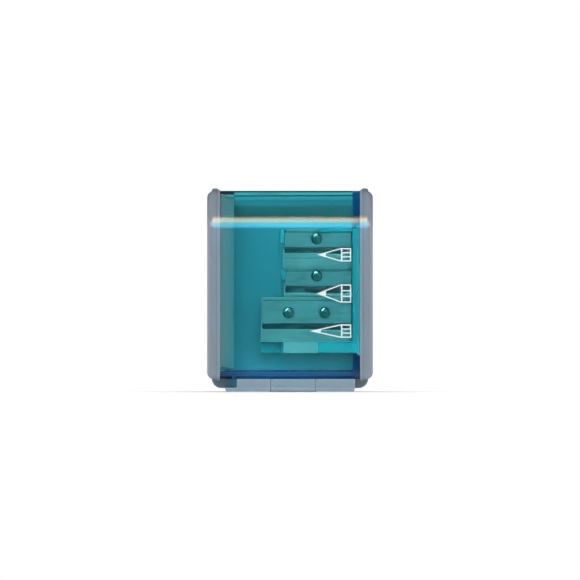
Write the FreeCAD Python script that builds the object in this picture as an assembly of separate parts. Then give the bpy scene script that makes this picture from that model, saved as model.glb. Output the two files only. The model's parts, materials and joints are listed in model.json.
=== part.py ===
import FreeCAD, Part
import math
import os

# Handheld three-hole pencil sharpener in a shavings container.
# Millimetres. +Z is up, the window faces -Y and the pencils go in from +X.
# The origin is the middle of the footprint, on the surface that the container stands on.

# Room inside the container, which sets its outside together with the walls and the blocks
left_room = 14.1  # from the thin end of the long block to the open end of the shell
front_room = 4.337  # from the foremost blade to the window
sump_height = 6.4  # under the blocks
stack_drop = 13.3  # from the shell's top to the first block
base_height = 4.3  # under the shell, for the door's lip

# Clear shell
front_wall = 1.8
bottom_wall = 2.7
side_wall = 2.6  # the wall that the pencils go through
shoulder_radius = 13.0  # where the window turns into the top
heel_radius = 1.2  # where the top turns into the back, round about the hinge axis
toe_least = 0.3  # least round of the toe on faces inside it
catch_depth = 1.2  # ridge under the shell that the latch hooks behind
catch_setback = 3.6  # from the window's face
catch_drop = 0.35
catch_inset = 0.9  # the ridge ends this far inside the latch
nib_width = 1.4  # peg that stands in the notch of the door's lip
nib_gap = 0.35
nib_setback = 0.4

# End caps
cap_width = 4.4
cap_round = 2.4
cap_skin = 1.4
toe_margin = 0.2  # the shell's toe is rounder than the cap by this much
bead_width = 0.8
bead_proud = 0.4
rim_wall = 0.6  # shell left around the collar of the left cap, at its open end
rim_taper = 0.2  # rise of that wall per length of the collar
rim_lift = 0.3  # from the floor of the shell up to the collar's seat
spigot_depth = 4.9  # length of that collar
spigot_wall = 1.2
spigot_gap = 0.1
spigot_back_gap = 0.4  # from the back of the shell
peg_radius = 0.9  # pegs of the right cap in the shell's side wall
peg_gap = 0.05
peg_length = 2.0
peg_end_gap = 0.1
peg_pitch = 4.0  # between the two pegs above the window, and the two below it
peg_inset = 1.4  # from the top and from the bottom of the shell
hole_clear = 0.6  # pencil holes in the cap, over the bore's radius
hole_lead = 1.0
boss_wall = 1.0
boss_gap = 0.1
boss_depth = 1.5  # how far a boss of the cap reaches into the carrier

# Door and its hinge
door_thickness = 2.0
door_gap = 0.2
door_over_axis = 0.3  # panel above the hinge axis
door_inset = 1.5  # from the end of the case
door_rise = 1.2  # lowest edge of the door's panel
door_foot_radius = 3.4
door_top_radius = 2.0
door_edge_round = 0.7
hinge_lug = 0.3  # cap left between the shell and a knuckle
hinge_cheek = 1.4  # cap left outside a knuckle
knuckle_proud = 0.9  # above the top of the shell
knuckle_round = 0.8
knuckle_gap = 0.15
knuckle_turn_gap = 0.3
pin_radius = 0.7
pin_running_gap = 0.06
pin_fit_gap = 0.03
pin_cover = 0.9  # cap left over the outer end of a pin

# Lip under the shell, with its latch
lip_inset = 6.2  # from the end of the case
lip_thickness = 1.4
lip_edge_round = 1.0
front_bar_thickness = 1.4
front_bar_setback = 0.4  # behind the lip's front edge
front_bar_rise = 0.1  # past the shell's lowest face, in front of its toe
notch_width = 4.1  # at the left end of the lip's front bar
rib_thickness = 1.4
rib_gap = 0.16  # between the lip's ribs and the shell
latch_width = 15.3
latch_offset = 1.0  # of the latch's middle to the right
latch_length = 17.0
latch_slit = 0.2
latch_lift = 0.15  # above the surface that the lip stands on
latch_root_gap = 0.15

# Sharpener blocks, stacked from the top
block_gap = 0.05
seat_gap = 0.1  # between the blocks and the carrier
land_recess = 0.4  # of the block's face below its slot
slot_height = 1.4
slot_depth = 1.6  # behind the pencil's axis
slot_end = 0.5  # block left at the thin end of a slot
slot_mouth = 1.8  # block left at the mouth of a slot
tip_radius = 0.5  # narrow end of a pencil's cone

standard_overhang = 0.3  # past the thin end of the wide block
standard_height = 14.1
standard_axis_drop = 6.7  # from the top of the block
standard_radius = 4.1
standard_angle = 11.5
standard_entry = 4.1  # round stretch before the cone
standard_cut_length = 11.4  # step under the carrier's top rib
standard_ledge = 2.0  # from the slot down to the lower, fuller part of the land
standard_ledge_recess = 0.2

wide_length = 23.5
wide_top_wall = 0.75
wide_bottom_wall = 1.2
wide_back_wall = 1.55
wide_radius = 5.1
wide_angle = 13.0
wide_entry = 2.4
wide_slot_height = 2.0
wide_land_slope = 0.15

long_length = 31.4
long_height = 12.25
long_axis_drop = 6.55
long_radius = 4.1
long_angle = 8.5
long_entry = 3.1
long_forward = 2.4  # in front of the upper axes
long_back_wall = 1.3
long_brow_height = 3.05  # lip of the block in front of the one above
long_brow_depth = 1.6
long_corner_round = 1.0
foot_width = 11.8  # key of the long block in the carrier
foot_height = 3.8
foot_from_mouth = 11.8

# Blades and their screws
blade_thickness = 0.7
blade_setback = 0.2  # from the mouth of the block
blade_tip_gap = 0.1  # from the nose of the carrier's hook
blade_bevel = 0.7
blade_edge = 0.1
standard_blade_rim = 0.2  # block left over the blade
wide_blade_rim = 0.35
long_blade_rim = 1.4
screw_head_radius = 1.8
screw_head_height = 1.1
screw_rim_height = 0.4
screw_shank_radius = 0.9
screw_length = 3.4  # in the block
screw_fit_gap = 0.03
screw_end_gap = 0.3
screw_blade_gap = 0.3
screw_wall = 0.12  # block left between a screw and the cone
screw_cross_width = 0.55
screw_cross_length = 2.5
screw_cross_depth = 0.65
standard_screw_back = 12.4  # from the mouth, along the blade
wide_screw_back = 12.4
long_screw_back = 9.5
long_screw_pitch = 12.6

# Carrier that holds the blocks in the side wall
carrier_gap = 0.1
carrier_plate = 1.2  # behind the upper blocks
carrier_wall = 1.4
carrier_rim = 0.85  # side wall left behind the carrier
rebate_depth = 1.0
rebate_width = 0.8
window_head = 0.4  # over the first block
bush_gap = 0.35  # pencil holes in the flange, over the bore's radius
top_rib_height = 1.1
top_rib_gap = 0.1
hook_thickness = 0.8
hook_nose = 0.4
hook_lip = 0.8
standard_hook_height = 4.8
wide_hook_height = 3.1
foot_wall = 0.8
stop_recess = 3.0  # of the stop beside the key, behind the blade's plane
shelf_gap = 0.1


def slope(angle):
    """Rise per length of a cone's side at a half angle in degrees."""
    return math.tan(math.radians(angle))


# Widths
standard_length = wide_length + standard_overhang
shell_half = (left_room + long_length + seat_gap + side_wall) / 2
half_width = shell_half + cap_width
side_wall_inside = shell_half - side_wall
mouth_x = side_wall_inside - seat_gap
collar_end = spigot_depth - shell_half
knuckle_width = cap_width - hinge_lug - hinge_cheek - 2 * knuckle_gap
knuckle_x = shell_half + hinge_lug + knuckle_gap + knuckle_width / 2
half_door = half_width - door_inset
half_lip = half_width - lip_inset
notch_right = notch_width - half_lip
latch_left = latch_offset - latch_width / 2
latch_right = latch_offset + latch_width / 2

# Depths, from the back of the shell to the window, then set about the middle
upper_back = wide_radius + wide_back_wall
stack_to_rear = upper_back + carrier_plate + carrier_gap + rebate_width + carrier_rim
wide_face = wide_radius + wide_entry * slope(wide_angle)
long_face = long_forward + long_radius + long_entry * slope(long_angle)
foremost = max(wide_face, long_face) + blade_thickness
shell_depth = stack_to_rear + foremost + front_room + front_wall
case_depth = bead_proud + shell_depth + door_gap + door_thickness
bead_front = -case_depth / 2
case_front = bead_front + bead_proud
case_rear = case_front + shell_depth
door_front = case_rear + door_gap
door_back = door_front + door_thickness
stack_y = case_rear - stack_to_rear
long_y = stack_y - long_forward
upper_back_y = stack_y + upper_back
long_back_y = long_y + long_radius + long_back_wall
carrier_rear = upper_back_y + carrier_plate
window_front = case_front + front_wall
front_bar_face = bead_front + front_bar_setback
latch_root = bead_front + latch_length
toe_radius = cap_round + toe_margin

# Heights, from the surface that the container stands on
wide_height = wide_top_wall + 2 * wide_radius + wide_bottom_wall
stack_height = standard_height + wide_height + long_height + 2 * block_gap
case_bottom = base_height
cavity_floor = case_bottom + bottom_wall
rim_floor = cavity_floor + rim_lift
ridge_root = case_bottom + bottom_wall / 2  # inside the shell's bottom
foot_bottom = cavity_floor + sump_height
long_bottom = foot_bottom + foot_height
standard_top = long_bottom + stack_height
standard_bottom = standard_top - standard_height
wide_top = standard_bottom - block_gap
wide_bottom = wide_top - wide_height
long_top = wide_bottom - block_gap
brow_top = long_top + long_brow_height
case_top = standard_top + stack_drop
window_top = standard_top + window_head
window_bottom = foot_bottom - carrier_gap
top_rib_bottom = window_top - carrier_gap - top_rib_height
standard_step = top_rib_bottom - top_rib_gap
front_bar_height = case_bottom + front_bar_rise

# Hinge of the door, about whose axis the heel of the case is round
hinge_y = case_rear - heel_radius
hinge_z = case_top - heel_radius
knuckle_radius = heel_radius + knuckle_proud
turn_radius = knuckle_radius + knuckle_turn_gap
bead_rear = hinge_y - turn_radius
door_top = hinge_z + door_over_axis

# Room that cutting tools reach past the solid that they cut
past = 1.0


class Bore:
    """One pencil hole: its axis, its round entry, its cone and the plane of its blade."""

    def __init__(self, axis_y, axis_z, radius, angle, entry, length):
        self.y = axis_y
        self.z = axis_z
        self.radius = radius
        self.angle = angle
        self.slope = slope(angle)
        self.cone_start = mouth_x - entry
        self.apex = self.cone_start - radius / self.slope
        self.left = mouth_x - length

    def face_y(self, x, recess=0.0):
        """Depth of the blade's plane at x, or of a face set back from it."""
        return self.y - (x - self.apex) * self.slope + recess

    def screw_rise(self, back):
        """Height over the axis at which a screw this far from the mouth passes beside the cone."""
        x = mouth_x - back * math.cos(math.radians(self.angle))
        radius = (x - self.apex) * self.slope
        passing = radius * (1 + self.slope ** 2)
        return passing + screw_wall + screw_shank_radius + screw_fit_gap

    def to_blade(self, shape):
        """Moves a shape from the blade's own frame, whose zero is at the mouth, on the pencil's axis:
        X along the blade to the mouth, Y into the block and Z up."""
        turn = FreeCAD.Rotation(FreeCAD.Vector(0, 0, 1), -self.angle)
        seat = FreeCAD.Vector(mouth_x, self.face_y(mouth_x), self.z)
        return shape.transformed(FreeCAD.Placement(seat, turn).Matrix)


standard = Bore(
    stack_y, standard_top - standard_axis_drop,
    standard_radius, standard_angle, standard_entry, standard_length,
)
wide = Bore(
    stack_y, wide_top - wide_top_wall - wide_radius,
    wide_radius, wide_angle, wide_entry, wide_length,
)
long_point = Bore(
    long_y, long_top - long_axis_drop,
    long_radius, long_angle, long_entry, long_length,
)
bores = (standard, wide, long_point)

# Screws of each blade: distance from the mouth along the blade, and rise over the pencil's axis
standard_screws = ((standard_screw_back, standard.screw_rise(standard_screw_back)),)
wide_screws = ((wide_screw_back, wide.screw_rise(wide_screw_back)),)
long_screw_rise = long_point.screw_rise(long_screw_back)
long_screws = (
    (long_screw_back, long_screw_rise),
    (long_screw_back + long_screw_pitch, long_screw_rise),
)


# Building blocks

def box(x0, x1, y0, y1, z0, z1):
    """Box between two X, two Y and two Z places, in either order of X."""
    corner = FreeCAD.Vector(min(x0, x1), y0, z0)
    return Part.makeBox(abs(x1 - x0), y1 - y0, z1 - z0, corner)


def rod(radius, x0, x1, y, z):
    """Round bar along X."""
    start = FreeCAD.Vector(min(x0, x1), y, z)
    return Part.makeCylinder(radius, abs(x1 - x0), start, FreeCAD.Vector(1, 0, 0))


def cone(radius0, radius1, x0, x1, y, z):
    """Cone along X, from radius0 at x0 to radius1 at x1."""
    start = FreeCAD.Vector(x0, y, z)
    return Part.makeCone(radius0, radius1, x1 - x0, start, FreeCAD.Vector(1, 0, 0))


def prism(points, push):
    """Solid from a closed outline of points, pushed along a vector."""
    wire = Part.makePolygon([*points, points[0]])
    return Part.Face(wire).extrude(push)


def plan(points, z0, z1):
    """Upright solid over an outline of X, Y points."""
    outline = [FreeCAD.Vector(x, y, z0) for x, y in points]
    return prism(outline, FreeCAD.Vector(0, 0, z1 - z0))


def side_view(points, x0, x1):
    """Solid along X over an outline of Y, Z points."""
    outline = [FreeCAD.Vector(x0, y, z) for y, z in points]
    return prism(outline, FreeCAD.Vector(x1 - x0, 0, 0))


def fuse(*shapes):
    """One clean solid from several."""
    return shapes[0].multiFuse(list(shapes[1:])).removeSplitter()


def cut(shape, *tools):
    """What is left of a solid after several tools."""
    return shape.cut(list(tools)).removeSplitter()


def arc(start, middle, end):
    """Edge of a round stretch through three points."""
    return Part.Arc(start, middle, end).toShape()


def case_outline(x, grow, floor, rear, heel=0.0):
    """The container's side outline at a place along X, with a round shoulder and toe.
    grow moves the front and the top outward, and heel rounds the top's rear edge."""
    front = case_front - grow
    top = case_top + grow
    shoulder = shoulder_radius + grow
    toe = max(toe_radius + grow, toe_least)
    bow = 1 - math.sqrt(0.5)

    def at(y, z):
        return FreeCAD.Vector(x, y, z)

    toe_arc = arc(
        at(front + toe, floor),
        at(front + bow * toe, floor + bow * toe),
        at(front, floor + toe),
    )
    shoulder_arc = arc(
        at(front, top - shoulder),
        at(front + bow * shoulder, top - bow * shoulder),
        at(front + shoulder, top),
    )
    edges = [
        Part.makeLine(at(rear, floor), at(front + toe, floor)),
        toe_arc,
        Part.makeLine(at(front, floor + toe), at(front, top - shoulder)),
        shoulder_arc,
        Part.makeLine(at(front + shoulder, top), at(rear - heel, top)),
    ]
    if heel > 0:
        edges.append(arc(
            at(rear - heel, top),
            at(rear - bow * heel, top - bow * heel),
            at(rear, top - heel),
        ))
    edges.append(Part.makeLine(at(rear, top - heel), at(rear, floor)))
    return Part.Wire(edges)


def case_prism(x0, x1, grow, floor, rear, heel=0.0):
    """Solid along X over the container's side outline."""
    face = Part.Face(case_outline(x0, grow, floor, rear, heel))
    return face.extrude(FreeCAD.Vector(x1 - x0, 0, 0))


def rim_wall_at(x):
    """Thickness of the shell around the left cap's collar, at a place along X."""
    return rim_wall + rim_taper * (x + shell_half)


def rim_taper_solid(x0, x1, clear, floor, rear):
    """Solid inside the shell's tapered rim, clear of it by a gap."""
    ends = [case_outline(x, -rim_wall_at(x) - clear, floor, rear) for x in (x0, x1)]
    return Part.makeLoft(ends, True, True)


def edges_where(shape, test):
    """Edges whose every corner passes a test of its place."""
    return [e for e in shape.Edges if all(test(v.Point) for v in e.Vertexes)]


def edges_along_y(shape, test):
    """Edges that run from front to back, and pass a test of their place."""
    return [
        e for e in edges_where(shape, test)
        if near(e.Vertexes[0].X, e.Vertexes[-1].X) and near(e.Vertexes[0].Z, e.Vertexes[-1].Z)
    ]


def near(a, b):
    return abs(a - b) < 1e-4


# Clear shell

def peg_places():
    """Y, Z of the pegs that hold the right cap, above and below the carrier's window."""
    heights = (case_top - peg_inset, case_bottom + peg_inset)
    return [(stack_y + back, z) for back in (0, peg_pitch) for z in heights]


def front_shell():
    """Clear window, shoulder, top, bottom and pencil side in one shell, open at the back and left,
    with a thin, tapered rim around the collar of the left cap."""
    body = case_prism(-shell_half, shell_half, 0, case_bottom, case_rear, heel_radius)
    cavity = case_prism(
        -shell_half - past, side_wall_inside, -front_wall, cavity_floor, case_rear + past
    )
    rim = rim_taper_solid(
        -shell_half - past, collar_end + spigot_gap, 0, rim_floor, case_rear + past
    )
    window = box(
        side_wall_inside - past, shell_half + past,
        window_front, carrier_rear + carrier_gap, window_bottom, window_top,
    )
    rebate = box(
        shell_half - rebate_depth, shell_half + past,
        window_front - rebate_width, carrier_rear + carrier_gap + rebate_width,
        window_bottom - rebate_width, window_top + rebate_width,
    )
    peg_holes = [
        rod(peg_radius + peg_gap, shell_half - peg_length - peg_end_gap, shell_half + past, y, z)
        for y, z in peg_places()
    ]
    body = cut(body, cavity, rim, window, rebate, *peg_holes)

    catch_front = case_front + catch_setback
    catch = box(
        latch_left + catch_inset, latch_right - catch_inset,
        catch_front, catch_front + catch_depth, case_bottom - catch_drop, ridge_root,
    )
    nib_right = notch_right - nib_gap
    nib = box(
        nib_right - nib_width, nib_right, case_front + nib_setback, catch_front,
        lip_thickness + rib_gap, ridge_root,
    )
    return fuse(body, catch, nib)


# End caps

def end_cap(side):
    """Rounded cap with a bead along its inner edge and a slot for the door's knuckle.
    side is 1 for the right cap and -1 for the left."""
    inner = side * shell_half
    outer = side * half_width
    slab = case_prism(inner, outer, 0, case_bottom, case_rear)

    def on_outer_rim(p):
        return near(p.x, outer)

    rim = [
        e for e in edges_where(slab, on_outer_rim)
        if not all(near(v.Point.y, case_rear) for v in e.Vertexes)
    ]
    heel_mask = case_prism(inner, outer, 0, case_bottom, case_rear, heel_radius)
    slab = slab.makeFillet(cap_round, rim).common(heel_mask)
    bead = case_prism(
        inner, side * (shell_half + bead_width), bead_proud, case_bottom - bead_proud, bead_rear
    )
    blank = fuse(slab, bead)

    ring = spigot_gap + spigot_wall
    pocket = case_prism(
        inner - side * past, side * (half_width - cap_skin), -front_wall - ring,
        cavity_floor + ring, case_rear - cap_skin,
    )
    hinge_block = box(
        inner - 2 * side * past, outer,
        hinge_y - turn_radius - cap_skin, case_rear,
        hinge_z - turn_radius - cap_skin, case_top + past,
    )
    slot_inner = side * (knuckle_x - knuckle_width / 2 - knuckle_gap)
    slot_outer = side * (knuckle_x + knuckle_width / 2 + knuckle_gap)
    turn_slot = rod(turn_radius, slot_inner, slot_outer, hinge_y, hinge_z)
    arm_slot = box(
        slot_inner, slot_outer, hinge_y, case_rear + past,
        hinge_z - turn_radius, case_top + knuckle_proud + past,
    )
    pin_hole = rod(
        pin_radius + pin_fit_gap, inner - side * past, side * (half_width - pin_cover),
        hinge_y, hinge_z,
    )
    return cut(blank, pocket.cut(hinge_block), turn_slot, arm_slot, pin_hole)


def left_end_cap():
    """Cap with a tapered collar that closes the open end of the shell."""
    outside = rim_taper_solid(
        -shell_half, collar_end, spigot_gap,
        rim_floor + spigot_gap, case_rear - spigot_back_gap,
    )
    ring = spigot_gap + spigot_wall
    hollow = case_prism(
        -shell_half - past, collar_end + past, -rim_wall_at(collar_end) - ring,
        rim_floor + ring, case_rear + past,
    )
    return fuse(end_cap(-1), outside.cut(hollow))


def right_end_cap():
    """Cap with three pencil holes, whose bosses reach into the carrier, and pegs in the side wall."""
    inside_skin = half_width - cap_skin / 2
    posts = [
        rod(b.radius + hole_clear + boss_wall, shell_half - boss_depth, inside_skin, b.y, b.z)
        for b in bores
    ]
    pegs = [
        rod(peg_radius, shell_half - peg_length, shell_half + cap_skin, y, z)
        for y, z in peg_places()
    ]
    holes = [
        rod(b.radius + hole_clear, shell_half - 2 * boss_depth, half_width + past, b.y, b.z)
        for b in bores
    ]
    leads = [
        cone(
            b.radius + hole_clear, b.radius + hole_clear + hole_lead + past,
            half_width - hole_lead, half_width + past, b.y, b.z,
        )
        for b in bores
    ]
    return cut(fuse(end_cap(1), *posts, *pegs), *holes, *leads)


# Sharpener blocks

def wedge(bore, recess, x0, x1, back, z0, z1):
    """Part of a block between two X places, with its front along the blade's plane."""
    outline = (
        (x0, back),
        (x1, back),
        (x1, bore.face_y(x1, recess)),
        (x0, bore.face_y(x0, recess)),
    )
    return plan(outline, z0, z1)


def pencil_cut(bore, slot_drop=slot_height):
    """Round entry and cone for the pencil, and the slot below the blade's edge."""
    entry = rod(bore.radius, bore.cone_start, mouth_x + past, bore.y, bore.z)
    tip_x = bore.apex + tip_radius / bore.slope
    taper = cone(tip_radius, bore.radius, tip_x, bore.cone_start, bore.y, bore.z)
    slot = box(
        bore.left + slot_end, mouth_x - slot_mouth,
        bore.face_y(mouth_x) - past, bore.y + slot_depth, bore.z - slot_drop, bore.z,
    )
    return fuse(entry, taper, slot)


def screw_holes(bore, places):
    """Holes for the shanks of a blade's screws, at places of distance from the mouth and rise."""
    return [
        bore.to_blade(Part.makeCylinder(
            screw_shank_radius + screw_fit_gap, past + screw_length + screw_end_gap,
            FreeCAD.Vector(-back, -past, rise), FreeCAD.Vector(0, 1, 0),
        ))
        for back, rise in places
    ]


def standard_block():
    """Metal wedge for pencils of usual thickness."""
    seat = wedge(standard, 0, standard.left, mouth_x, upper_back_y, standard.z, standard_top)
    land = wedge(
        standard, land_recess, standard.left, mouth_x, upper_back_y, standard_bottom, standard.z
    )
    ledge = wedge(
        standard, standard_ledge_recess, standard.left, mouth_x, upper_back_y,
        standard_bottom, standard.z - slot_height - standard_ledge,
    )
    step = box(
        mouth_x - standard_cut_length, mouth_x + past,
        standard.face_y(mouth_x) - past, upper_back_y + past,
        standard_step, standard_top + past,
    )
    holes = screw_holes(standard, standard_screws)
    return cut(fuse(seat, land, ledge), pencil_cut(standard), step, *holes)


def wide_block():
    """Metal wedge for thick pencils, bevelled below its slot."""
    seat = wedge(wide, 0, wide.left, mouth_x, upper_back_y, wide.z, wide_top)
    land = wedge(wide, land_recess, wide.left, mouth_x, upper_back_y, wide_bottom, wide.z)
    drop = wide.z - wide_slot_height - wide_bottom
    bevel = side_view(
        (
            (land_recess, -wide_slot_height),
            (land_recess + wide_land_slope * drop, -wide_slot_height - drop),
            (-past, -wide_slot_height - drop),
            (-past, -wide_slot_height),
        ),
        -2 * wide_length, wide_length,
    )
    holes = screw_holes(wide, wide_screws)
    slotted = cut(fuse(seat, land), pencil_cut(wide, wide_slot_height), *holes)
    return cut(slotted, wide.to_blade(bevel))


def foot_span():
    """X places of the key under the long block."""
    right = mouth_x - foot_from_mouth
    return right - foot_width, right


def long_point_block():
    """Long metal wedge for slim points, with a brow in front of the block above and a key below."""
    left = long_point.left
    seat = wedge(long_point, 0, left, mouth_x, long_back_y, long_point.z, long_top)
    land = wedge(long_point, land_recess, left, mouth_x, long_back_y, long_bottom, long_point.z)
    brow = plan(
        (
            (left, long_point.face_y(left)),
            (mouth_x, long_point.face_y(mouth_x)),
            (mouth_x, long_point.face_y(mouth_x, long_brow_depth)),
            (left, long_point.face_y(left, long_brow_depth)),
        ),
        long_top, brow_top,
    )
    foot_left, foot_right = foot_span()
    foot = wedge(
        long_point, land_recess, foot_left, foot_right, long_back_y, foot_bottom, long_bottom
    )
    body = fuse(seat, land, brow, foot)

    def on_corner(p):
        return near(p.x, left) and near(p.z, brow_top)

    body = body.makeFillet(long_corner_round, edges_where(body, on_corner))
    holes = screw_holes(long_point, long_screws)
    return cut(body, pencil_cut(long_point), *holes)


# Blades and screws

def blade(bore, length, top, places):
    """Flat steel blade on the sloping face of a block, ground to an edge along the pencil's axis."""
    lean = math.radians(bore.angle)
    reach = length - hook_nose - blade_tip_gap
    long_side = reach / math.cos(lean) - blade_thickness * math.tan(lean)
    plate = box(-long_side, -blade_setback, -blade_thickness, 0, 0, top - bore.z)
    bevel = side_view(
        (
            (-blade_edge, 0),
            (-blade_thickness, blade_bevel),
            (-blade_thickness - past, blade_bevel),
            (-blade_thickness - past, -past),
            (-blade_edge, -past),
        ),
        -long_side - past, past,
    )
    holes = [
        Part.makeCylinder(
            screw_shank_radius + screw_blade_gap, blade_thickness + 2 * past,
            FreeCAD.Vector(-back, -blade_thickness - past, rise), FreeCAD.Vector(0, 1, 0),
        )
        for back, rise in places
    ]
    return bore.to_blade(cut(plate, bevel, *holes))


def screw(bore, place):
    """Cross-head screw with a domed head on the blade."""
    back, rise = place
    seat = -blade_thickness
    dome = screw_head_height - screw_rim_height
    sphere_radius = (screw_head_radius ** 2 + dome ** 2) / (2 * dome)
    into = FreeCAD.Vector(0, 1, 0)

    def at(y):
        return FreeCAD.Vector(-back, y, rise)

    ball = Part.makeSphere(sphere_radius, at(seat - screw_head_height + sphere_radius))
    head = Part.makeCylinder(
        screw_head_radius, screw_head_height, at(seat - screw_head_height), into
    ).common(ball)
    shank = Part.makeCylinder(
        screw_shank_radius, blade_thickness + screw_length, at(seat), into
    )
    top = seat - screw_head_height
    half_bar = screw_cross_width / 2
    half_long = screw_cross_length / 2
    bars = [
        box(
            -back - wide_half, -back + wide_half,
            top - past, top + screw_cross_depth,
            rise - tall_half, rise + tall_half,
        )
        for wide_half, tall_half in ((half_bar, half_long), (half_long, half_bar))
    ]
    return bore.to_blade(cut(fuse(head, shank), *bars))


# Carrier

def hook(left, face, top, height):
    """Arm from the carrier's plate around the thin end of an upper block."""
    arm = box(
        left - seat_gap - hook_thickness, left - seat_gap,
        face - seat_gap - hook_lip, carrier_rear, top - height, top,
    )
    nose = box(
        left - seat_gap - hook_thickness, left + hook_nose,
        face - seat_gap - hook_lip, face - seat_gap, top - height, top,
    )
    return fuse(arm, nose)


def sharpener_carrier():
    """Bright moulding that fills the window in the side wall and holds the three blocks."""
    top = window_top - carrier_gap
    bottom = foot_bottom
    flange = box(
        side_wall_inside, shell_half,
        window_front + carrier_gap, carrier_rear, bottom, top,
    )
    brim = box(
        shell_half - rebate_depth, shell_half,
        window_front - rebate_width + carrier_gap, carrier_rear + rebate_width,
        bottom - rebate_width, top + rebate_width,
    )
    upper_left = min(standard.left, wide.left) - seat_gap - hook_thickness
    plate = box(upper_left, side_wall_inside, upper_back_y, carrier_rear, long_top, top)
    pad_left = long_point.left
    pad = box(pad_left, side_wall_inside, long_back_y, carrier_rear, bottom, long_top)
    pad_core = box(
        pad_left + carrier_wall, side_wall_inside - carrier_wall,
        long_back_y + carrier_wall, carrier_rear + past,
        bottom + carrier_wall, long_top - carrier_wall,
    )
    top_rib = box(
        mouth_x - standard_cut_length + top_rib_gap, side_wall_inside,
        standard.face_y(mouth_x), upper_back_y, top_rib_bottom, top,
    )
    foot_left, foot_right = foot_span()
    shelf = wedge(
        long_point, land_recess, foot_right + shelf_gap, side_wall_inside,
        long_back_y, bottom, long_bottom - shelf_gap,
    )
    stop = wedge(
        long_point, stop_recess, foot_left - shelf_gap - foot_wall, foot_left - shelf_gap,
        long_back_y, bottom, long_bottom - shelf_gap,
    )
    hooks = [
        hook(standard.left, standard.face_y(standard.left), standard_top, standard_hook_height),
        hook(wide.left, wide.face_y(wide.left), wide_top, wide_hook_height),
    ]
    body = fuse(flange, brim, plate, pad.cut(pad_core), top_rib, shelf, stop, *hooks)
    holes = [
        rod(b.radius + bush_gap, side_wall_inside - past, shell_half + past, b.y, b.z)
        for b in bores
    ]
    sockets = [
        rod(
            b.radius + hole_clear + boss_wall + boss_gap,
            shell_half - boss_depth - boss_gap, shell_half + past, b.y, b.z,
        )
        for b in bores
    ]
    return cut(body, *holes, *sockets)


# Door, latch and hinge pins

def lip_rib(x0, x1):
    """Stiffening rib along the lip, just under the shell."""
    return box(x0, x1, front_bar_face, door_front, lip_thickness / 2, case_bottom - rib_gap)


def rear_door():
    """Back panel with two hinge knuckles above and a lip that runs forward under the shell."""
    panel = box(-half_door, half_door, door_front, door_back, door_rise, door_top)

    def foot_corner(p):
        return near(p.z, door_rise) and near(abs(p.x), half_door)

    def top_corner(p):
        return near(p.z, door_top) and near(abs(p.x), half_door)

    panel = panel.makeFillet(door_foot_radius, edges_along_y(panel, foot_corner))
    panel = panel.makeFillet(door_top_radius, edges_along_y(panel, top_corner))

    def on_back(p):
        return near(p.y, door_back)

    panel = panel.makeFillet(door_edge_round, edges_where(panel, on_back))

    arms = []
    for side in (-1, 1):
        inner = side * (knuckle_x - knuckle_width / 2)
        outer = side * (knuckle_x + knuckle_width / 2)
        disc = rod(knuckle_radius, inner, outer, hinge_y, hinge_z)
        rims = [e for e in disc.Edges if isinstance(e.Curve, Part.Circle)]
        disc = disc.makeFillet(knuckle_round, rims)
        arm = box(
            inner, outer, hinge_y, door_back - door_edge_round,
            hinge_z - knuckle_radius, door_top,
        )
        arms.extend((disc, arm))

    lip = box(-half_lip, half_lip, bead_front, door_back, 0, lip_thickness)

    def under_end(p):
        return near(p.z, 0) and near(abs(p.x), half_lip)

    lip = lip.makeFillet(lip_edge_round, edges_along_y(lip, under_end))
    front_bar = box(
        notch_right, half_lip, front_bar_face, front_bar_face + front_bar_thickness,
        lip_thickness / 2, front_bar_height,
    )
    left_rib = lip_rib(notch_right, notch_right + rib_thickness)
    right_rib = lip_rib(half_lip - rib_thickness, half_lip)
    body = fuse(panel, *arms, lip, front_bar, left_rib, right_rib)
    latch_room = box(
        latch_left - latch_slit, latch_right + latch_slit,
        bead_front - past, latch_root, -past, front_bar_height + past,
    )
    pin_bores = [
        rod(
            pin_radius + pin_running_gap, side * (shell_half - past), side * (half_width + past),
            hinge_y, hinge_z,
        )
        for side in (-1, 1)
    ]
    return cut(body, latch_room, *pin_bores)


def latch_tongue():
    """Springy middle of the lip, whose front bar hooks in front of the shell's catch."""
    leaf = box(
        latch_left, latch_right, bead_front, latch_root - latch_root_gap,
        latch_lift, lip_thickness,
    )
    bar = box(
        latch_left, latch_right, front_bar_face, front_bar_face + front_bar_thickness,
        latch_lift, front_bar_height,
    )
    return fuse(leaf, bar)


def hinge_pin(side):
    """Steel pin through a knuckle, closed in between the shell and the cap."""
    return rod(
        pin_radius, side * (shell_half + pin_fit_gap),
        side * (half_width - pin_cover - pin_fit_gap), hinge_y, hinge_z,
    )


nodes = {
    "front_shell": front_shell(),
    "left_end_cap": left_end_cap(),
    "right_end_cap": right_end_cap(),
    "sharpener_carrier": sharpener_carrier(),
    "standard_block": standard_block(),
    "wide_block": wide_block(),
    "long_point_block": long_point_block(),
    "standard_blade": blade(
        standard, standard_length, standard_step - standard_blade_rim, standard_screws
    ),
    "wide_blade": blade(wide, wide_length, wide_top - wide_blade_rim, wide_screws),
    "long_point_blade": blade(long_point, long_length, brow_top - long_blade_rim, long_screws),
    "standard_screw": screw(standard, standard_screws[0]),
    "wide_screw": screw(wide, wide_screws[0]),
    "long_point_screw_mouth": screw(long_point, long_screws[0]),
    "long_point_screw_tip": screw(long_point, long_screws[1]),
    "rear_door": rear_door(),
    "latch_tongue": latch_tongue(),
    "left_hinge_pin": hinge_pin(-1),
    "right_hinge_pin": hinge_pin(1),
}

os.makedirs("parts", exist_ok=True)
for name, shape in nodes.items():
    shape.exportStep(f"parts/{name}.step")
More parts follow.
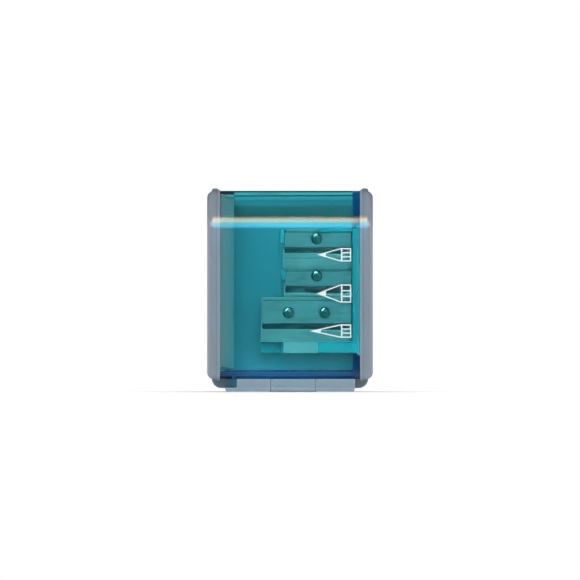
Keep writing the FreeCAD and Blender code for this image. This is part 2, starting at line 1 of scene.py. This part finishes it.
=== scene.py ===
import bpy
import json
import math
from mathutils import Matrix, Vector


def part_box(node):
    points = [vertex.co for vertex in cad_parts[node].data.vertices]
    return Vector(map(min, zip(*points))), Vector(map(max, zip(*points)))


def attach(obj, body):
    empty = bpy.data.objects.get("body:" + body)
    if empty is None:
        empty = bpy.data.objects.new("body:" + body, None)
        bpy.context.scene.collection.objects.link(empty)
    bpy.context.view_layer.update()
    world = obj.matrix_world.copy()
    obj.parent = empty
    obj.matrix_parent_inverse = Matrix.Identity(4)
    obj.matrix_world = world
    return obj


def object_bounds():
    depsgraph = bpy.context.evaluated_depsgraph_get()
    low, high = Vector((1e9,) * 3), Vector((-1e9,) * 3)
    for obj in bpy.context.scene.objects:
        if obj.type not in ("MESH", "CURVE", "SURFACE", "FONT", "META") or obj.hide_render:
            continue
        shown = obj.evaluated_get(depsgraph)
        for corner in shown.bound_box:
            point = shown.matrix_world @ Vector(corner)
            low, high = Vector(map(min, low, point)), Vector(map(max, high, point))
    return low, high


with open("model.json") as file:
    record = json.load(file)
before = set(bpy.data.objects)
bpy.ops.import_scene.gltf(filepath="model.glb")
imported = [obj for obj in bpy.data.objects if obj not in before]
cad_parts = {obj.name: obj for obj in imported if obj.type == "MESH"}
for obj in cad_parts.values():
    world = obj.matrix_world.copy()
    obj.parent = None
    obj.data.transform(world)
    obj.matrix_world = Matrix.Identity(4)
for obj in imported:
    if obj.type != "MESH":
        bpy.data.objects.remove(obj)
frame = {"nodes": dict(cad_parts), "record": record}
cad_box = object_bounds()

# Looks of a handheld three-hole pencil sharpener with a clear turquoise container.
# Metres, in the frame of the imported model: the window faces -Y and the pencils go in from +X.

MM = 0.001

nodes = frame["nodes"]
key_top = 17.2 * MM  # of the key under the long block, and of the shelf beside it
land_height = 1.4 * MM  # of the wide block's land, where it shows above the long block
pencil_holes = {
    mount["name"]: Vector(mount["pos_m"])
    for mount in frame["record"]["mounts"]
    if mount["kind"] == "bore"
}

# Camera: straight on to the window, from so far away that it shows hardly any depth
view_distance = 8.0
view_reach = 20.0
view_width = 199.2 * MM  # what the square picture shows across, at the window
sensor_width = 36.0

# Edges of mouldings and of metal, rounded by this much
shell_edge = 0.22 * MM
plastic_edge = 0.16 * MM
metal_edge = 0.10 * MM
blade_edge = 0.04 * MM
screw_edge = 0.05 * MM

# Printed pencils on the window
ink_line = 0.40 * MM
ink_height = 0.03 * MM
ink_sink = 0.01 * MM
ink_drop = 2.0 * MM  # from a bore's axis down to the middle of its pencil
pencil_end = 21.0 * MM
pencil_cone = 17.3 * MM

# Reflection cards are bent about a line along X at this height
card_height = 58 * MM


# Node trees

class Graph:
    """A node tree, with short calls to add nodes and to join them."""

    def __init__(self, tree):
        self.tree = tree
        self.tree.nodes.clear()

    def add(self, kind, inputs=None, **settings):
        """A new node. An input is a value, or a socket to join to it."""
        node = self.tree.nodes.new("ShaderNode" + kind)
        for name, value in settings.items():
            setattr(node, name, value)
        for name, value in (inputs or {}).items():
            self.set(node.inputs[name], value)
        return node

    def set(self, socket, value):
        if isinstance(value, bpy.types.NodeSocket):
            self.tree.links.new(value, socket)
        else:
            socket.default_value = value

    def place(self, stretch=(1.0, 1.0, 1.0), turn=(0.0, 0.0, 0.0)):
        """Place on the object, in metres, turned and stretched for a texture."""
        here = self.add("TexCoord").outputs["Object"]
        angles = tuple(math.radians(a) for a in turn)
        mapping = {"Vector": here, "Rotation": angles, "Scale": stretch}
        return self.add("Mapping", mapping).outputs["Vector"]

    def noise(self, size, detail=3.0, roughness=0.5, stretch=(1.0, 1.0, 1.0), turn=(0.0, 0.0, 0.0)):
        """Cloudy value about 0.5, whose patches are about size across."""
        values = {
            "Vector": self.place(stretch, turn),
            "Scale": 1.0 / size,
            "Detail": detail,
            "Roughness": roughness,
        }
        return self.add("TexNoise", values).outputs["Fac"]

    def ramp(self, value, low, high, to_low, to_high):
        """value, taken from the span low to high to another span, and held at its ends."""
        values = {
            "Value": value, "From Min": low, "From Max": high, "To Min": to_low, "To Max": to_high,
        }
        return self.add("MapRange", values).outputs["Result"]

    def blend(self, amount, first, second):
        """Colour between two colours."""
        node = self.add("Mix", data_type="RGBA")
        self.set(node.inputs[0], amount)
        for socket, colour in ((node.inputs[6], first), (node.inputs[7], second)):
            self.set(socket, colour if isinstance(colour, bpy.types.NodeSocket) else (*colour, 1.0))
        return node.outputs[2]

    def calc(self, first, second, operation="ADD"):
        """One value from two."""
        node = self.add("Math", operation=operation)
        self.set(node.inputs[0], first)
        self.set(node.inputs[1], second)
        return node.outputs[0]

    def bump(self, height, depth, strength=1.0, normal=None):
        """Normal of a relief that is depth deep."""
        values = {"Height": height, "Distance": depth, "Strength": strength}
        if normal is not None:
            values["Normal"] = normal
        return self.add("Bump", values).outputs["Normal"]

    def edges(self, reach):
        """1 on outer edges, falling to 0 within reach of them."""
        shade = self.add("AmbientOcclusion", {"Distance": reach}, inside=True, samples=6)
        return self.ramp(shade.outputs["AO"], 0.45, 0.95, 1.0, 0.0)

    def corners(self, reach):
        """1 in corners and recesses, falling to 0 on open faces."""
        shade = self.add("AmbientOcclusion", {"Distance": reach}, samples=6)
        return self.ramp(shade.outputs["AO"], 0.50, 0.92, 1.0, 0.0)


def new_material(name):
    """An empty material and its graph."""
    material = bpy.data.materials.new(name)
    material.use_nodes = True
    return material, Graph(material.node_tree)


def finish_material(graph, surface, volume=None):
    """Joins a surface, and what fills it, to the material's output."""
    output = graph.add("OutputMaterial", {"Surface": surface})
    if volume is not None:
        graph.set(output.inputs["Volume"], volume)


# Materials

def clear_turquoise():
    """Clear tinted styrene, with hairline scratches from use. The depth of the wall sets how dark it
    looks."""
    material, g = new_material("turquoise_clear_dressed")
    scratches = None
    turns_and_sizes = ((24, 1.4 * MM), (-51, 1.9 * MM), (82, 1.1 * MM))
    for turn, size in turns_and_sizes:
        lines = g.noise(size, 2.0, 0.6, stretch=(0.03, 1.0, 1.0), turn=(0, turn, 0))
        line = g.ramp(g.calc(g.calc(lines, 0.5, "SUBTRACT"), 0.0, "ABSOLUTE"), 0.0, 0.012, 1.0, 0.0)
        scratches = line if scratches is None else g.calc(scratches, line, "MAXIMUM")
    patches = g.ramp(g.noise(9 * MM, 2.0), 0.48, 0.66, 0.0, 1.0)
    scratches = g.calc(scratches, patches, "MULTIPLY")
    ripple = g.noise(14 * MM, 1.0, 0.4)
    relief = g.bump(ripple, 0.02 * MM, 0.5)
    relief = g.bump(scratches, -0.004 * MM, 0.5, relief)
    body = g.add("BsdfPrincipled", {
        "Base Color": (1.0, 1.0, 1.0, 1.0),
        "Roughness": g.ramp(scratches, 0.0, 1.0, 0.07, 0.14),
        "IOR": 1.49,
        "Transmission Weight": 1.0,
        "Normal": relief,
    })
    light_through = g.add("BsdfTransparent", {"Color": (0.94, 0.94, 0.94, 1.0)})
    lamp_ray = g.add("LightPath").outputs["Is Shadow Ray"]
    surface = g.add("MixShader", {0: lamp_ray, 1: body.outputs[0], 2: light_through.outputs[0]})
    tint = g.add("VolumeAbsorption", {"Color": (0.0, 0.943, 0.9885, 1.0), "Density": 560.0})
    finish_material(g, surface.outputs[0], tint.outputs[0])
    return material


def bright_turquoise():
    """Solid turquoise moulding, a little cloudy, with a satin face."""
    material, g = new_material("turquoise_bright_dressed")
    cloud = g.noise(6 * MM, 4.0, 0.6)
    grain = g.noise(0.18 * MM, 2.0)
    worn = g.edges(0.35 * MM)
    colour = g.blend(cloud, (0.004, 0.35, 0.40), (0.008, 0.41, 0.47))
    height = g.add("SeparateXYZ", {"Vector": g.place()}).outputs["Z"]
    above_shelf = g.ramp(height, key_top - 1.0 * MM, key_top + 1.0 * MM, 0.0, 0.5)
    colour = g.blend(above_shelf, colour, (0.003, 0.17, 0.23))
    colour = g.blend(g.calc(worn, 0.4, "MULTIPLY"), colour, (0.22, 0.36, 0.37))
    body = g.add("BsdfPrincipled", {
        "Base Color": colour,
        "Roughness": g.ramp(cloud, 0.3, 0.7, 0.34, 0.46),
        "IOR": 1.49,
        "Normal": g.bump(grain, 0.01 * MM, 0.6),
    })
    finish_material(g, body.outputs[0])
    return material


def frosted_grey(name, dark, light, wear_and_edge_highlight, dust_and_shade, inside=None):
    """Frosted blue-grey moulding: a fine grain, handling shine, pale edges that are worn and partly a
    painted edge highlight, and painted shade with some graphite in the gaps. inside gives the colour of
    faces inside the container, with their painted light and shade."""
    material, g = new_material(name)
    cloud = g.noise(11 * MM, 4.0, 0.6)
    grain = g.noise(0.22 * MM, 3.0, 0.6)
    shine = g.noise(5 * MM, 3.0, 0.55)
    worn = g.edges(0.3 * MM)
    colour = g.blend(cloud, dark, light)
    # Pale edges: wear, and a painted edge highlight, strongest on the door
    colour = g.blend(g.calc(worn, wear_and_edge_highlight, "MULTIPLY"), colour, (0.66, 0.72, 0.77))
    # Painted shade in gaps and corners, with some graphite
    colour = g.blend(g.calc(g.corners(0.8 * MM), dust_and_shade, "MULTIPLY"), colour, (0.09, 0.10, 0.11))
    if inside is not None:
        colour = inside(g, colour)
    body = g.add("BsdfPrincipled", {
        "Base Color": colour,
        "Roughness": g.ramp(shine, 0.3, 0.7, 0.11, 0.16),
        "IOR": 1.58,
        "Subsurface Weight": 0.5,
        "Subsurface Radius": (1.0, 1.1, 1.2),
        "Subsurface Scale": 1.6 * MM,
        "Normal": g.bump(grain, 0.003 * MM, 0.6),
    })
    finish_material(g, body.outputs[0])
    return material


def milled_alloy():
    """Light alloy of the blocks: drawn lines along the block, small pits, bright edges, painted shade with
    graphite in the corners, and a bright milled key below. The narrow land of the wide block is painted
    lighter and kept out of that painted shade."""
    material, g = new_material("cast_metal_dressed")
    lines = g.noise(0.5 * MM, 3.0, 0.65, stretch=(0.02, 1.0, 1.0))
    cloud = g.noise(3.5 * MM, 4.0, 0.6)
    smear_and_shade = g.ramp(g.noise(1.3 * MM, 3.0, 0.6, stretch=(0.015, 1.0, 1.0)), 0.44, 0.66, 0.0, 1.0)
    height = g.add("SeparateXYZ", {"Vector": g.place()}).outputs["Z"]
    key = g.ramp(height, key_top - 0.3 * MM, key_top, 1.0, 0.0)
    land_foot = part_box("long_point_block")[1].z
    above_foot = g.ramp(height, land_foot, land_foot + 0.1 * MM, 0.0, 1.0)
    land_top = land_foot + land_height
    below_slot = g.ramp(height, land_top, land_top + 0.3 * MM, 1.0, 0.0)
    land = g.calc(above_foot, below_slot, "MULTIPLY")
    pits = g.ramp(g.noise(0.45 * MM, 2.0), 0.66, 0.74, 0.0, 1.0)
    worn = g.edges(0.25 * MM)
    colour = g.blend(cloud, (0.31, 0.262, 0.260), (0.42, 0.355, 0.348))
    colour = g.blend(g.calc(smear_and_shade, 0.3, "MULTIPLY"), colour, (0.20, 0.185, 0.18))
    colour = g.blend(g.calc(key, 0.7, "MULTIPLY"), colour, (0.52, 0.475, 0.48))
    colour = g.blend(g.calc(pits, 0.5, "MULTIPLY"), colour, (0.16, 0.16, 0.16))
    colour = g.blend(g.calc(worn, 0.6, "MULTIPLY"), colour, (0.72, 0.72, 0.70))
    # Painted light: the narrow land is made lighter
    colour = g.blend(g.calc(land, 0.6, "MULTIPLY"), colour, (0.66, 0.62, 0.61))
    # Painted shade in corners and recesses, leaving out the land
    corner_shade = g.calc(g.corners(2.8 * MM), land, "SUBTRACT")
    colour = g.blend(g.ramp(corner_shade, 0.0, 1.0, 0.0, 1.0), colour, (0.025, 0.025, 0.03))
    relief = g.bump(lines, 0.02 * MM, 0.5)
    relief = g.bump(pits, -0.02 * MM, 0.6, relief)
    body = g.add("BsdfPrincipled", {
        "Base Color": colour,
        "Metallic": 1.0,
        "Roughness": g.ramp(lines, 0.3, 0.7, 0.36, 0.52),
        "Normal": relief,
    })
    finish_material(g, body.outputs[0])
    return material


def ground_steel():
    """Blade steel with fine grinding lines along the blade, brown stains and graphite smears, and painted
    shade in its corners and round the screw heads.
    """
    material, g = new_material("blade_steel_dressed")
    lines = g.noise(0.22 * MM, 3.0, 0.7, stretch=(0.015, 1.0, 1.0))
    stain = g.ramp(g.noise(1.6 * MM, 4.0, 0.6, stretch=(0.02, 1.0, 1.0)), 0.42, 0.64, 0.0, 1.0)
    patch = g.ramp(g.noise(4.5 * MM, 3.0, 0.55, stretch=(0.5, 1.0, 1.0)), 0.45, 0.65, 0.35, 1.0)
    stain = g.calc(stain, patch, "MULTIPLY")
    worn = g.edges(0.18 * MM)
    colour = g.blend(lines, (0.25, 0.220, 0.228), (0.35, 0.312, 0.322))
    colour = g.blend(g.calc(stain, 0.6, "MULTIPLY"), colour, (0.20, 0.155, 0.135))
    colour = g.blend(g.calc(worn, 0.5, "MULTIPLY"), colour, (0.70, 0.70, 0.69))
    # Painted shade in corners and round the screw heads
    colour = g.blend(g.calc(g.corners(1.3 * MM), 0.9, "MULTIPLY"), colour, (0.04, 0.04, 0.04))
    body = g.add("BsdfPrincipled", {
        "Base Color": colour,
        "Metallic": 1.0,
        "Roughness": g.ramp(lines, 0.3, 0.7, 0.26, 0.40),
        "Normal": g.bump(lines, 0.008 * MM, 0.6),
    })
    finish_material(g, body.outputs[0])
    return material


def plated_screw():
    """Nickel-plated screw heads, scuffed by the driver, with painted shade in the cross and at the head's
    foot.
    """
    material, g = new_material("screw_steel_dressed")
    scuff = g.noise(0.5 * MM, 4.0, 0.65)
    worn = g.edges(0.2 * MM)
    colour = g.blend(scuff, (0.08, 0.08, 0.08), (0.20, 0.20, 0.19))
    colour = g.blend(g.calc(worn, 0.35, "MULTIPLY"), colour, (0.75, 0.75, 0.72))
    # Painted shade in the cross recess and where the head meets the blade
    colour = g.blend(g.corners(0.8 * MM), colour, (0.01, 0.01, 0.01))
    body = g.add("BsdfPrincipled", {
        "Base Color": colour,
        "Metallic": 1.0,
        "Roughness": g.ramp(scuff, 0.3, 0.7, 0.08, 0.18),
        "Normal": g.bump(scuff, 0.01 * MM, 0.5),
    })
    finish_material(g, body.outputs[0])
    return material


def drawn_pin():
    """Drawn steel pin with fine lines along it."""
    material, g = new_material("pin_steel_dressed")
    lines = g.noise(0.12 * MM, 2.0, 0.6, stretch=(0.03, 1.0, 1.0))
    body = g.add("BsdfPrincipled", {
        "Base Color": g.blend(lines, (0.50, 0.50, 0.50), (0.66, 0.66, 0.65)),
        "Metallic": 1.0,
        "Roughness": g.ramp(lines, 0.3, 0.7, 0.25, 0.40),
        "Normal": g.bump(lines, 0.005 * MM, 0.5),
    })
    finish_material(g, body.outputs[0])
    return material


def white_ink():
    """Screen-printed white, a little thin in places."""
    material, g = new_material("white_ink_dressed")
    thin = g.ramp(g.noise(0.35 * MM, 3.0, 0.6), 0.35, 0.60, 0.0, 1.0)
    body = g.add("BsdfPrincipled", {
        "Base Color": g.blend(thin, (0.80, 0.86, 0.87), (0.93, 0.93, 0.93)),
        "Roughness": g.ramp(thin, 0.0, 1.0, 0.55, 0.42),
        "Normal": g.bump(thin, 0.006 * MM, 0.5),
    })
    finish_material(g, body.outputs[0])
    return material


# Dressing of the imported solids

def round_edges(obj, width, least_turn):
    """Joins a solid's faces, rounds its edges of at least a turn in degrees by width, and shades it
    smooth. Its own vertices stay."""
    mesh = obj.data
    for name in ("custom_normal", "sharp_edge"):
        if name in mesh.attributes:
            mesh.attributes.remove(mesh.attributes[name])
    mesh.shade_smooth()
    weld = obj.modifiers.new("weld", "WELD")
    weld.merge_threshold = 0.0005 * MM
    flat = obj.modifiers.new("flat_faces", "DECIMATE")
    flat.decimate_type = "DISSOLVE"
    flat.angle_limit = math.radians(0.4)
    edge = obj.modifiers.new("round_edges", "BEVEL")
    edge.width = width
    edge.segments = 2
    edge.limit_method = "ANGLE"
    edge.angle_limit = math.radians(least_turn)
    edge.use_clamp_overlap = True
    edge.harden_normals = False
    shade = obj.modifiers.new("even_shade", "WEIGHTED_NORMAL")
    shade.weight = 80
    shade.keep_sharp = False


def door_inside(g, colour):
    """Clear, bluer inner face of the door, with painted light and shade: darker upwards, lighter near the
    floor as painted light, and painted shade behind the shell's side walls and in a ragged band along its
    top."""
    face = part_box("rear_door")[1].y - 1.8 * MM
    lip_top = 4.6 * MM
    knuckle_side = 23.9 * MM
    place = g.add("SeparateXYZ", {"Vector": g.place()}).outputs
    height = place["Z"]
    aside = g.calc(place["X"], 0.0, "ABSOLUTE")
    inner = g.ramp(place["Y"], face, face + 0.3 * MM, 1.0, 0.0)
    above_lip = g.ramp(height, lip_top, lip_top + 0.6 * MM, 0.0, 1.0)
    inner = g.calc(inner, above_lip, "MULTIPLY")
    between_knuckles = g.ramp(aside, knuckle_side, knuckle_side + 0.3 * MM, 1.0, 0.0)

    # Painted shade: the inner face darkens upwards, and painted light brightens it near the floor
    tint_low, tint_high = 18.0 * MM, 56.0 * MM
    shade_upward = g.ramp(height, tint_low, tint_high, 0.0, 1.0)
    tint = g.blend(shade_upward, (0.070, 0.335, 0.420), (0.065, 0.265, 0.340))
    lit_low, lit_high = 6.0 * MM, 15.0 * MM
    lit_near_floor = g.ramp(height, lit_low, lit_high, 1.0, 0.0)
    tint = g.blend(lit_near_floor, tint, (0.060, 0.440, 0.570))

    # Painted shade on the inner face behind the shell's side walls, deeper higher up
    wall_side = 21.2 * MM
    wall_shade_low, wall_shade_high = 16.0 * MM, 30.0 * MM
    beside_wall = g.ramp(aside, wall_side, wall_side + 0.6 * MM, 0.0, 1.0)
    wall_shade = g.calc(g.ramp(height, wall_shade_low, wall_shade_high, 0.0, 1.0), beside_wall, "MULTIPLY")
    tint = g.blend(wall_shade, tint, (0.02, 0.03, 0.03))
    colour = g.blend(g.calc(inner, between_knuckles, "MULTIPLY"), colour, tint)

    # Painted shade in a ragged band along the top of the inner face
    top_shade_low, top_shade_full = 56.5 * MM, 60.0 * MM
    top_shade_fade, top_shade_high = 64.0 * MM, 65.5 * MM
    band_edge_noise = g.noise(2.5 * MM, 3.0, 0.6, stretch=(0.06, 1.0, 1.0))
    ragged = g.calc(height, g.ramp(band_edge_noise, 0.3, 0.7, -0.5 * MM, 0.5 * MM))
    low = g.ramp(ragged, top_shade_low, top_shade_full, 0.0, 0.88)
    high = g.ramp(ragged, top_shade_fade, top_shade_high, 0.0, 0.40)
    smear_and_shade = g.calc(g.calc(low, high, "SUBTRACT"), inner, "MULTIPLY")
    return g.blend(smear_and_shade, colour, (0.04, 0.065, 0.075))


def collar_inside(g, colour):
    """Bluer collar of the left cap, darkened by painted shade, more so at its far end."""
    collar_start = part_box("front_shell")[0].x
    collar_length = 5.0 * MM
    along = g.add("SeparateXYZ", {"Vector": g.place()}).outputs["X"]
    inside = g.ramp(along, collar_start, collar_start + 0.1 * MM, 0.0, 1.0)
    on_left_cap = g.ramp(along, 0.0, 1.0 * MM, 1.0, 0.0)
    # Painted shade, deeper towards the collar's far end
    amount = g.ramp(along, collar_start, collar_start + collar_length, 0.40, 0.62)
    amount = g.calc(g.calc(amount, inside, "MULTIPLY"), on_left_cap, "MULTIPLY")
    return g.blend(amount, colour, (0.12, 0.17, 0.18))


cap_grey = frosted_grey(
    "cap_plastic_dressed", (0.281, 0.333, 0.400), (0.313, 0.366, 0.435), wear_and_edge_highlight=0.3, dust_and_shade=0.45,
    inside=collar_inside,
)
door_grey = frosted_grey(
    "door_plastic_dressed", (0.300, 0.395, 0.475), (0.330, 0.430, 0.510), wear_and_edge_highlight=0.8, dust_and_shade=0.10,
    inside=door_inside,
)
# Material, width of rounded edges, and the least turn in degrees of an edge that is rounded
finishes = {
    "turquoise_clear": (clear_turquoise(), shell_edge, 28),
    "turquoise_bright": (bright_turquoise(), plastic_edge, 28),
    "smoke_plastic": (cap_grey, plastic_edge, 28),
    "cast_metal": (milled_alloy(), metal_edge, 24),
    "blade_steel": (ground_steel(), blade_edge, 12),
    "screw_steel": (plated_screw(), screw_edge, 28),
    "pin_steel": (drawn_pin(), screw_edge, 28),
}
for name, node in nodes.items():
    material, edge_width, least_turn = finishes[node.data.materials[0].name]
    round_edges(node, edge_width, least_turn)
    node.data.materials.clear()
    node.data.materials.append(door_grey if name in ("rear_door", "latch_tongue") else material)


# Printed pencils

def outline_curve(name, loops):
    """Flat curve over closed loops of x, y points, where an inner loop is a hole."""
    curve = bpy.data.curves.new(name, "CURVE")
    curve.dimensions = "2D"
    curve.fill_mode = "BOTH"
    curve.extrude = (ink_height + ink_sink) / 2
    for loop in loops:
        spline = curve.splines.new("POLY")
        spline.points.add(len(loop) - 1)
        for point, (x, y) in zip(spline.points, loop):
            point.co = (x, y, 0.0, 1.0)
        spline.use_cyclic_u = True
    return curve


def pencil_loops(tip, lead, cone, end, half):
    """Loops of a pencil that points to -X: its outline, and the clear places inside it.
    tip, lead, cone and end are places along it, and half is half its thickness."""
    line = ink_line
    slope = half / (cone - tip)
    skew = line * math.hypot(1.0, slope)
    outer = [(tip, 0.0), (cone, half), (end, half), (end, -half), (cone, -half)]

    def wood(x):
        return (x - tip) * slope - skew

    inside = half - line
    wood_end = cone + line / 2
    loops = [outer, [
        (lead, wood(lead)),
        (cone + line * 0.2, inside),
        (wood_end, inside),
        (wood_end, -inside),
        (cone + line * 0.2, -inside),
        (lead, -wood(lead)),
    ]]
    body_start = wood_end + line
    body_end = end - line
    stripe = (2 * inside - 2 * line) / 3
    scallop = line * 0.5
    for i in range(3):
        low = -inside + i * (stripe + line)
        high = low + stripe
        loops.append([
            (body_start, low),
            (body_end, low),
            (body_end, high),
            (body_start, high),
            (body_start + scallop, (low + high) / 2),
        ])
    return loops


def printed_pencil(name, hole, loops, ink):
    """White ink on the window, in front of one pencil hole."""
    curve = outline_curve(name, loops)
    drawn = bpy.data.objects.new(name + "_outline", curve)
    bpy.context.scene.collection.objects.link(drawn)
    bpy.context.view_layer.update()
    mesh = bpy.data.meshes.new_from_object(drawn.evaluated_get(bpy.context.evaluated_depsgraph_get()))
    bpy.data.objects.remove(drawn)
    bpy.data.curves.remove(curve)
    mesh.name = name
    mesh.materials.clear()
    mesh.materials.append(ink)
    obj = bpy.data.objects.new(name, mesh)
    bpy.context.scene.collection.objects.link(obj)
    window_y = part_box("front_shell")[0].y
    obj.rotation_euler = (math.pi / 2, 0.0, 0.0)
    obj.location = (0.0, window_y - (ink_height - ink_sink) / 2, hole.z - ink_drop)
    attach(obj, "case")
    return obj


ink = white_ink()
# Tip, start of the wood and half the thickness, in millimetres
pencil_shapes = {
    "standard_pencil_hole": (9.3, 12.3, 2.3),
    "wide_pencil_hole": (9.1, 12.4, 3.1),
    "long_point_pencil_hole": (6.8, 10.6, 2.3),
}
for hole_name, (tip, lead, half) in pencil_shapes.items():
    printed_pencil(
        "printed_" + hole_name.replace("_hole", ""),
        pencil_holes[hole_name],
        pencil_loops(tip * MM, lead * MM, pencil_cone, pencil_end, half * MM),
        ink,
    )


# Stage

def looking_rays(g):
    """1 for rays that look at the stage, from the camera or by way of gloss and clear plastic."""
    rays = g.add("LightPath").outputs
    seen = g.calc(rays["Is Camera Ray"], rays["Is Glossy Ray"], "MAXIMUM")
    return g.calc(seen, rays["Is Transmission Ray"], "MAXIMUM")


def pale_floor():
    """Wide pale floor that keeps the object's shadow, and goes over to white away from it."""
    half = 0.6
    shadow_reach = 0.03
    mesh = bpy.data.meshes.new("floor")
    corners = [(-half, -half, 0), (half, -half, 0), (half, half, 0), (-half, half, 0)]
    mesh.from_pydata(corners, [], [(0, 1, 2, 3)])
    material, g = new_material("floor_paper")
    fibre = g.noise(2 * MM, 3.0)
    body = g.add("BsdfPrincipled", {
        "Base Color": g.blend(fibre, (0.93, 0.93, 0.93), (0.96, 0.96, 0.96)),
        "Roughness": 0.9,
        "Specular IOR Level": 0.0,
    })
    white = g.add("Emission", {"Color": (1.0, 1.0, 1.0, 1.0), "Strength": 1.0})
    here = g.add("TexCoord").outputs["Object"]
    away = g.add("VectorMath", {0: here}, operation="LENGTH").outputs["Value"]
    far = g.ramp(away, shadow_reach, 2 * shadow_reach, 0.0, 1.0)
    amount = g.calc(far, looking_rays(g), "MULTIPLY")
    surface = g.add("MixShader", {0: amount, 1: body.outputs[0], 2: white.outputs[0]})
    finish_material(g, surface.outputs[0])
    mesh.materials.append(material)
    floor = bpy.data.objects.new("floor", mesh)
    bpy.context.scene.collection.objects.link(floor)


def white_world(ambient):
    """White all round to what looks at it, at an even ambient level to what it lights."""
    world = bpy.data.worlds.new("studio")
    bpy.context.scene.world = world
    world.use_nodes = True
    g = Graph(world.node_tree)
    background = g.add("Background", {
        "Color": (1.0, 1.0, 1.0, 1.0),
        "Strength": g.ramp(looking_rays(g), 0.0, 1.0, ambient, 1.0),
    })
    g.add("OutputWorld", {"Surface": background.outputs[0]})


def arched_card(name, radius, span, low, high, colour, strength, gloss=True, through=False):
    """Card bent about the object's length, over a span of X and between two elevations in degrees. It only
    shows in gloss, or through clear plastic."""
    steps = max(1, round((high - low) / 5))
    points = []
    for i in range(steps + 1):
        angle = math.radians(low + (high - low) * i / steps)
        for x in span:
            points.append((x, -radius * math.cos(angle), card_height + radius * math.sin(angle)))
    faces = [(2 * i, 2 * i + 1, 2 * i + 3, 2 * i + 2) for i in range(steps)]
    mesh = bpy.data.meshes.new(name)
    mesh.from_pydata(points, [], faces)
    material, g = new_material(name)
    weave = g.noise(4 * MM, 2.0)
    dim = tuple(0.95 * c for c in colour)
    glow = g.add("Emission", {"Color": g.blend(weave, dim, colour), "Strength": strength})
    finish_material(g, glow.outputs[0])
    material.cycles.emission_sampling = "NONE"
    mesh.materials.append(material)
    card = bpy.data.objects.new(name, mesh)
    bpy.context.scene.collection.objects.link(card)
    card.visible_camera = False
    card.visible_diffuse = False
    card.visible_shadow = False
    card.visible_glossy = gloss
    card.visible_transmission = through


def reflection_cards():
    """Dim cards in front, overhead and close to the shoulder, which keep the white surroundings out of its
    gloss. Lit strips draw the band on the shoulder, cool below and warm above, and pale ones draw it on to
    both sides. A warm card to the left lights the screw heads through the window."""
    white = (1.0, 1.0, 1.0)
    rose = (1.0, 0.55, 0.50)
    flag_radius = 3.4
    near_radius = 34 * MM
    spark_radius = 1.2
    strip_radius = 0.9
    everywhere = (-10.0, 10.0)
    over_part = (-0.08, 0.08)
    left_side = (-1.6, -0.15)
    strip_half = 0.45
    strip_end = 2.6
    arched_card("front_flag", flag_radius, everywhere, -12, 42, white, 0.04)
    arched_card("top_flag", flag_radius, everywhere, 42, 178, white, 0.06, through=True)
    arched_card("near_flag", near_radius, over_part, 28, 84, white, 0.06)
    arched_card("spark_card", spark_radius, left_side, 36, 72, rose, 26.0, gloss=False, through=True)
    # Lower and upper elevation, colour and radiance
    strips = (
        (1.5, 6.5, (0.03, 0.56, 1.0), 8.6),
        (6.5, 12.7, (0.13, 0.68, 1.0), 11.6),
        (12.7, 18.8, (0.34, 0.96, 1.0), 8.0),
        (18.8, 24.7, (1.0, 0.96, 0.80), 10.4),
        (24.7, 31.0, (1.0, 0.76, 0.40), 12.4),
        (31.0, 36.0, (1.0, 0.46, 0.14), 6.2),
    )
    middle = (-strip_half, strip_half)
    for low, high, colour, radiance in strips:
        arched_card(f"front_strip_{low:.0f}", strip_radius, middle, low, high, colour, radiance)
    sides = {"left": (-strip_end, -strip_half), "right": (strip_half, strip_end)}
    for side, span in sides.items():
        arched_card(f"{side}_strip", strip_radius, span, 8, 28, white, 4.2)


def area_light(name, place, aim, width, height, radiance):
    """Soft white rectangular light that faces a point, as bright as radiance says."""
    lamp = bpy.data.lights.new(name, "AREA")
    lamp.shape = "RECTANGLE"
    lamp.size = width
    lamp.size_y = height
    lamp.energy = radiance * math.pi * width * height
    obj = bpy.data.objects.new(name, lamp)
    obj.location = place
    obj.rotation_euler = (Vector(aim) - Vector(place)).to_track_quat("-Z", "Y").to_euler()
    obj.visible_camera = False
    obj.visible_glossy = False
    bpy.context.scene.collection.objects.link(obj)


pale_floor()
white_world(ambient=0.6)
reflection_cards()
centre = (cad_box[0] + cad_box[1]) / 2
# Place, width, height and radiance
lamps = {
    "front_light": ((0.0, -1.0, 0.40), 0.8, 0.5, 2.0),
    "top_light": ((0.0, 0.25, 1.1), 0.9, 0.9, 0.5),
    "left_fill": ((-1.1, -0.6, 0.5), 0.7, 0.7, 0.4),
    "right_fill": ((1.1, -0.2, 0.5), 0.7, 0.7, 0.4),
    "back_fill": ((0.3, 1.2, 0.6), 0.8, 0.8, 0.6),
}
for name, (place, width, height, radiance) in lamps.items():
    area_light(name, place, centre, width, height, radiance)


# Camera

def straight_camera():
    """Camera that looks level and square on at the window."""
    data = bpy.data.cameras.new("camera")
    data.sensor_width = sensor_width
    data.lens = sensor_width * view_distance / view_width
    data.clip_end = view_reach
    camera = bpy.data.objects.new("camera", data)
    window_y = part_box("front_shell")[0].y
    camera.location = (centre.x, window_y - view_distance, centre.z)
    camera.rotation_euler = (math.pi / 2, 0.0, 0.0)
    bpy.context.scene.collection.objects.link(camera)
    bpy.context.scene.camera = camera


straight_camera()
bpy.context.scene.view_settings.view_transform = "Standard"
